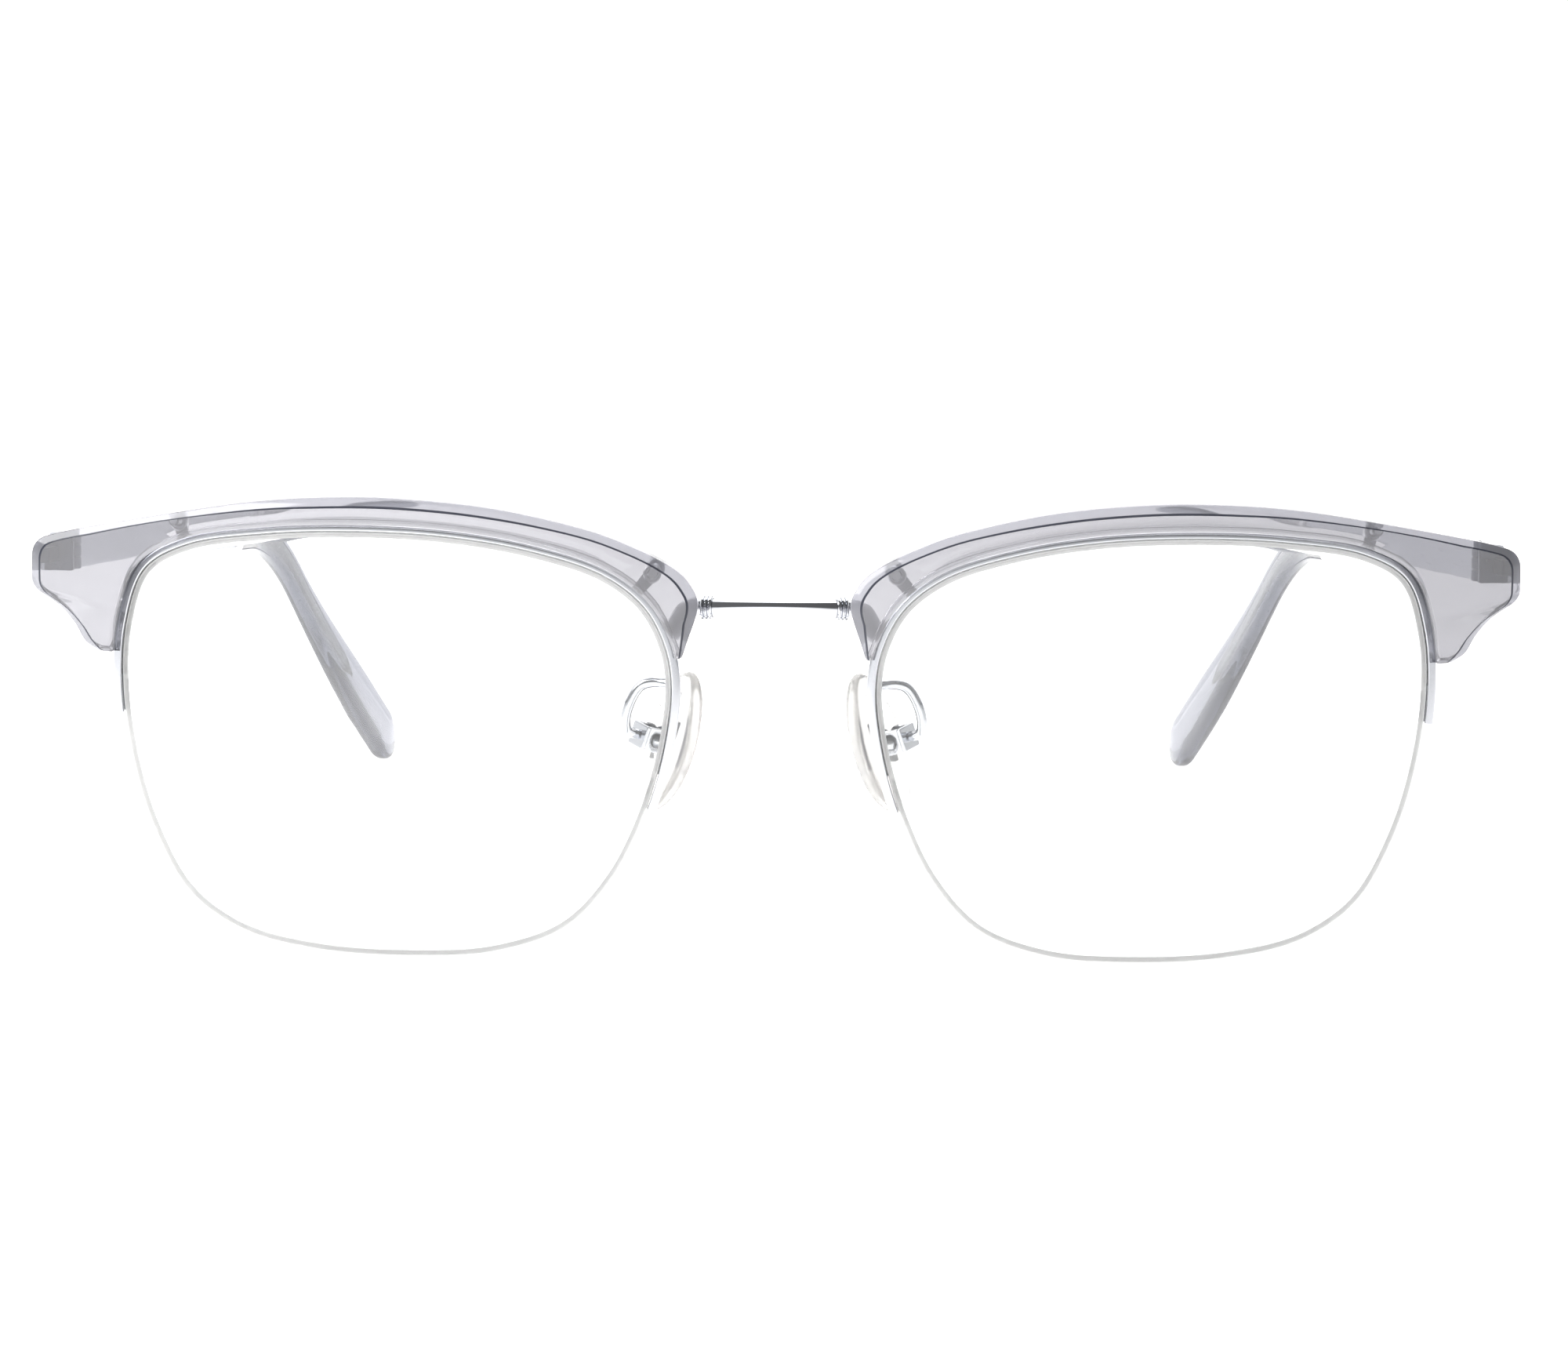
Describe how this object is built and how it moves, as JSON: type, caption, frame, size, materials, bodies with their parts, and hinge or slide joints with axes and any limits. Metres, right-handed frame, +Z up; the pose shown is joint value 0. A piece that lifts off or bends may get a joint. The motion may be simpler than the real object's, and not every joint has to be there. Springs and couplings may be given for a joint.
{
  "type": "browline eyeglasses",
  "caption": "Half-rim browline eyeglasses with clear grey acetate brow bars, a silver metal bridge and rims, clear lenses on a nylon filament, silicone nose pads and folding temples.",
  "frame": {"origin": "middle of the open glasses' bounding box, on the surface that the lenses and the temple tips rest on", "axes": "+Z up; +X towards the wearer's left; the lenses face -Y and the open temples run towards +Y"},
  "size_m": [0.1412, 0.145, 0.0434],
  "materials": {
    "brow_acetate": "polished translucent cool grey cellulose acetate",
    "tip_acetate": "polished translucent grey acetate over a metal core",
    "polished_metal": "bright polished silver plating",
    "hinge_metal": "plain tumbled nickel silver",
    "screw_metal": "turned steel screws with a slotted head",
    "lens_plastic": "clear hard-coated lens, nearly invisible",
    "nylon": "clear drawn nylon",
    "silicone": "clear moulded silicone with a soft matt skin"
  },
  "bodies": {
    "front": {"lens_left": "lens_plastic", "retaining_filament_left": "nylon", "rim_liner_left": "nylon", "half_rim_left": "polished_metal", "brow_bar_left": "brow_acetate", "brow_screw_outer_left": "screw_metal", "brow_screw_inner_left": "screw_metal", "bridge_collar_left": "polished_metal", "hinge_front_leaf_left": "hinge_metal", "hinge_screw_left": "screw_metal", "pad_arm_left": "polished_metal", "pad_box_left": "polished_metal", "pad_screw_left": "screw_metal", "lens_right": "lens_plastic", "retaining_filament_right": "nylon", "rim_liner_right": "nylon", "half_rim_right": "polished_metal", "brow_bar_right": "brow_acetate", "brow_screw_outer_right": "screw_metal", "brow_screw_inner_right": "screw_metal", "bridge_collar_right": "polished_metal", "hinge_front_leaf_right": "hinge_metal", "hinge_screw_right": "screw_metal", "pad_arm_right": "polished_metal", "pad_box_right": "polished_metal", "pad_screw_right": "screw_metal", "bridge": "polished_metal"},
    "temple_left": {"hinge_temple_leaf_left": "hinge_metal", "temple_shaft_left": "polished_metal", "temple_tip_left": "tip_acetate"},
    "temple_right": {"hinge_temple_leaf_right": "hinge_metal", "temple_shaft_right": "polished_metal", "temple_tip_right": "tip_acetate"},
    "pad_left": {"pad_insert_left": "hinge_metal", "nose_pad_left": "silicone"},
    "pad_right": {"pad_insert_right": "hinge_metal", "nose_pad_right": "silicone"}
  },
  "joints": [
    {"name": "temple_hinge_left", "type": "hinge", "parent": "front", "child": "temple_left", "pos_m": [0.0673, -0.0596, 0.03735], "axis": [0, 0, 1], "range_deg": [0, 86]},
    {"name": "temple_hinge_right", "type": "hinge", "parent": "front", "child": "temple_right", "pos_m": [-0.0673, -0.0596, 0.03735], "axis": [0, 0, -1], "range_deg": [0, 80]},
    {"name": "pad_rock_left", "type": "hinge", "parent": "front", "child": "pad_left", "pos_m": [0.0117, -0.06347, 0.02025], "axis": [0.5639, 0.8053, 0.1832], "range_deg": [-10, 10]},
    {"name": "pad_rock_right", "type": "hinge", "parent": "front", "child": "pad_right", "pos_m": [-0.0117, -0.06347, 0.02025], "axis": [-0.5639, 0.8053, 0.1832], "range_deg": [-10, 10]}
  ]
}
